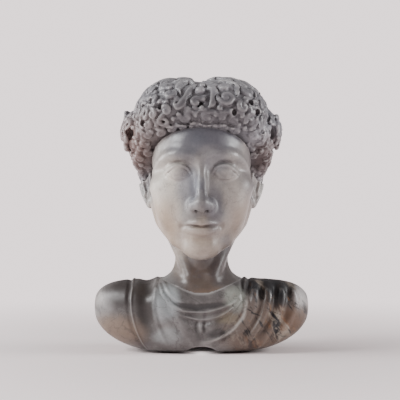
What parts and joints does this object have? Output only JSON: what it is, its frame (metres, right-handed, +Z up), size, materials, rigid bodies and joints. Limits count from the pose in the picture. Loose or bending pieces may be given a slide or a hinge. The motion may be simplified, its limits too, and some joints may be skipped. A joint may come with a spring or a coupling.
{
  "type": "marble bust",
  "caption": "Table-top marble bust of a curly-haired youth with a plain calm face, draped shoulders and an arched underside, built up from pinned blocks.",
  "frame": {"origin": "on the ground, under the middle of the bust's bounding box", "axes": "+Z up, the face looks along -Y, +X is the viewer's right and the figure's left"},
  "size_m": [0.238, 0.1797, 0.3001],
  "materials": {
    "face_marble": "honed grey marble, pale with warm clouds",
    "hair_marble": "honed mid-grey marble, dark in the drilled hollows",
    "tunic_marble": "honed grey marble with pale clouds",
    "cloak_marble": "honed brown marble with dark veins",
    "stone_adhesive": "matt polyester stone adhesive",
    "stainless_steel": "plain stainless steel",
    "felt": "pressed wool felt"
  },
  "bodies": {
    "root": {"head": "face_marble", "hair_crown": "hair_marble", "chest": "tunic_marble", "cloak": "cloak_marble", "crown_bed": "stone_adhesive", "neck_bed": "stone_adhesive", "cloak_bed": "stone_adhesive", "tie_rod": "stainless_steel", "tie_rod_washer": "stainless_steel", "tie_rod_nut": "stainless_steel", "crown_pins": "stainless_steel", "cloak_pins": "stainless_steel", "felt_pad_front_left": "felt", "felt_pad_front_right": "felt", "felt_pad_back_left": "felt", "felt_pad_back_right": "felt"}
  },
  "joints": []
}
